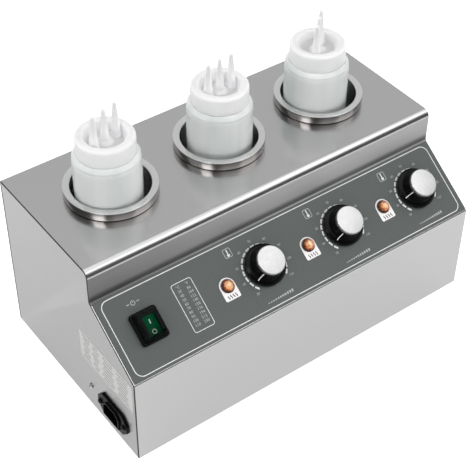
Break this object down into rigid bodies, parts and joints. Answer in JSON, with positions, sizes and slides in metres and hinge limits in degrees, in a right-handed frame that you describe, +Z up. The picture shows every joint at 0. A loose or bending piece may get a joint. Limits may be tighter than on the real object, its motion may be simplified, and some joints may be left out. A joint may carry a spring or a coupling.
{
  "type": "hot fudge topping warmer",
  "caption": "Countertop topping warmer: bent stainless housing with round heated wells for squeeze bottles and a sloping front panel with thermostat knobs, lamps and a power switch.",
  "frame": {"origin": "on the surface that the warmer stands on, under the middle of its housing", "axes": "+X to the right seen from the front, along the row of wells; the control panel faces -Y; +Z up"},
  "size_m": [0.4048, 0.224, 0.288],
  "materials": {
    "brushed_stainless": "brushed",
    "polished_stainless": "polished",
    "printed_overlay": "satin printed film",
    "black_plastic": "satin",
    "spun_aluminium": "spun",
    "amber_lens": "clear moulded",
    "lamp_bezel": "gloss",
    "green_rocker": "gloss",
    "clear_boot": "clear silicone",
    "black_nylon": "moulded",
    "plated_metal": "plated",
    "blackened_steel": "black oxide",
    "black_rubber": "matte",
    "milky_polyethylene": "translucent",
    "white_polyethylene": "translucent",
    "heater_steel": "plain",
    "phenolic_moulding": "moulded",
    "white_moulding": "moulded"
  },
  "bodies": {
    "warmer": {"wrap_cover": "brushed_stainless", "left_side_panel": "brushed_stainless", "right_side_panel": "brushed_stainless", "base_plate": "brushed_stainless", "control_overlay": "printed_overlay", "well_cup_1": "brushed_stainless", "well_collar_1": "polished_stainless", "band_heater_1": "heater_steel", "thermostat_1": "phenolic_moulding", "lamp_housing_1": "lamp_bezel", "lamp_lens_1": "amber_lens", "well_cup_2": "brushed_stainless", "well_collar_2": "polished_stainless", "band_heater_2": "heater_steel", "thermostat_2": "phenolic_moulding", "lamp_housing_2": "lamp_bezel", "lamp_lens_2": "amber_lens", "well_cup_3": "brushed_stainless", "well_collar_3": "polished_stainless", "band_heater_3": "heater_steel", "thermostat_3": "phenolic_moulding", "lamp_housing_3": "lamp_bezel", "lamp_lens_3": "amber_lens", "rubber_foot_1": "black_rubber", "base_screw_1": "plated_metal", "rubber_foot_2": "black_rubber", "base_screw_2": "plated_metal", "rubber_foot_3": "black_rubber", "base_screw_3": "plated_metal", "rubber_foot_4": "black_rubber", "base_screw_4": "plated_metal", "switch_frame": "black_plastic", "switch_boot": "clear_boot", "inlet_socket": "black_nylon", "inlet_pin_line": "plated_metal", "inlet_pin_earth": "plated_metal", "inlet_pin_neutral": "plated_metal", "earth_screw": "plated_metal", "earth_nut": "plated_metal", "inlet_screw_1": "blackened_steel", "inlet_screw_2": "blackened_steel", "terminal_block": "white_moulding"},
    "knob_body_1": {"knob_1": "black_plastic", "knob_cap_1": "spun_aluminium", "thermostat_shaft_1": "plated_metal"},
    "bottle_body_1": {"bottle_1": "milky_polyethylene"},
    "cap_body_1": {"bottle_cap_1": "white_polyethylene"},
    "knob_body_2": {"knob_2": "black_plastic", "knob_cap_2": "spun_aluminium", "thermostat_shaft_2": "plated_metal"},
    "bottle_body_2": {"bottle_2": "milky_polyethylene"},
    "cap_body_2": {"bottle_cap_2": "white_polyethylene"},
    "knob_body_3": {"knob_3": "black_plastic", "knob_cap_3": "spun_aluminium", "thermostat_shaft_3": "plated_metal"},
    "bottle_body_3": {"bottle_3": "milky_polyethylene"},
    "cap_body_3": {"bottle_cap_3": "white_polyethylene"},
    "rocker_body": {"switch_rocker": "green_rocker"}
  },
  "joints": [
    {"name": "thermostat_knob_1_turn", "type": "hinge", "parent": "warmer", "child": "knob_body_1", "pos_m": [-0.0321, -0.077, 0.13535], "axis": [0, -0.5658, 0.8246], "range_deg": [-266, 0]},
    {"name": "thermostat_knob_2_turn", "type": "hinge", "parent": "warmer", "child": "knob_body_2", "pos_m": [0.0626, -0.077, 0.13535], "axis": [0, -0.5658, 0.8246], "range_deg": [-266, 0]},
    {"name": "thermostat_knob_3_turn", "type": "hinge", "parent": "warmer", "child": "knob_body_3", "pos_m": [0.1573, -0.077, 0.13535], "axis": [0, -0.5658, 0.8246], "range_deg": [-246, 20]},
    {"name": "power_rocker_tip", "type": "hinge", "parent": "warmer", "child": "rocker_body", "pos_m": [-0.1622, -0.07783, 0.13405], "axis": [1, 0, 0], "range_deg": [-16, 0]},
    {"name": "bottle_1_lift", "type": "slide", "parent": "warmer", "child": "bottle_body_1", "axis": [0, 0, 1], "range_m": [0, 0.2]},
    {"name": "bottle_2_lift", "type": "slide", "parent": "warmer", "child": "bottle_body_2", "axis": [0, 0, 1], "range_m": [0, 0.2]},
    {"name": "bottle_3_lift", "type": "slide", "parent": "warmer", "child": "bottle_body_3", "axis": [0, 0, 1], "range_m": [0, 0.2]},
    {"name": "cap_1_lift", "type": "slide", "parent": "bottle_body_1", "child": "cap_body_1", "axis": [0, 0, 1], "range_m": [0, 0.05]},
    {"name": "cap_2_lift", "type": "slide", "parent": "bottle_body_2", "child": "cap_body_2", "axis": [0, 0, 1], "range_m": [0, 0.05]},
    {"name": "cap_3_lift", "type": "slide", "parent": "bottle_body_3", "child": "cap_body_3", "axis": [0, 0, 1], "range_m": [0, 0.05]}
  ]
}
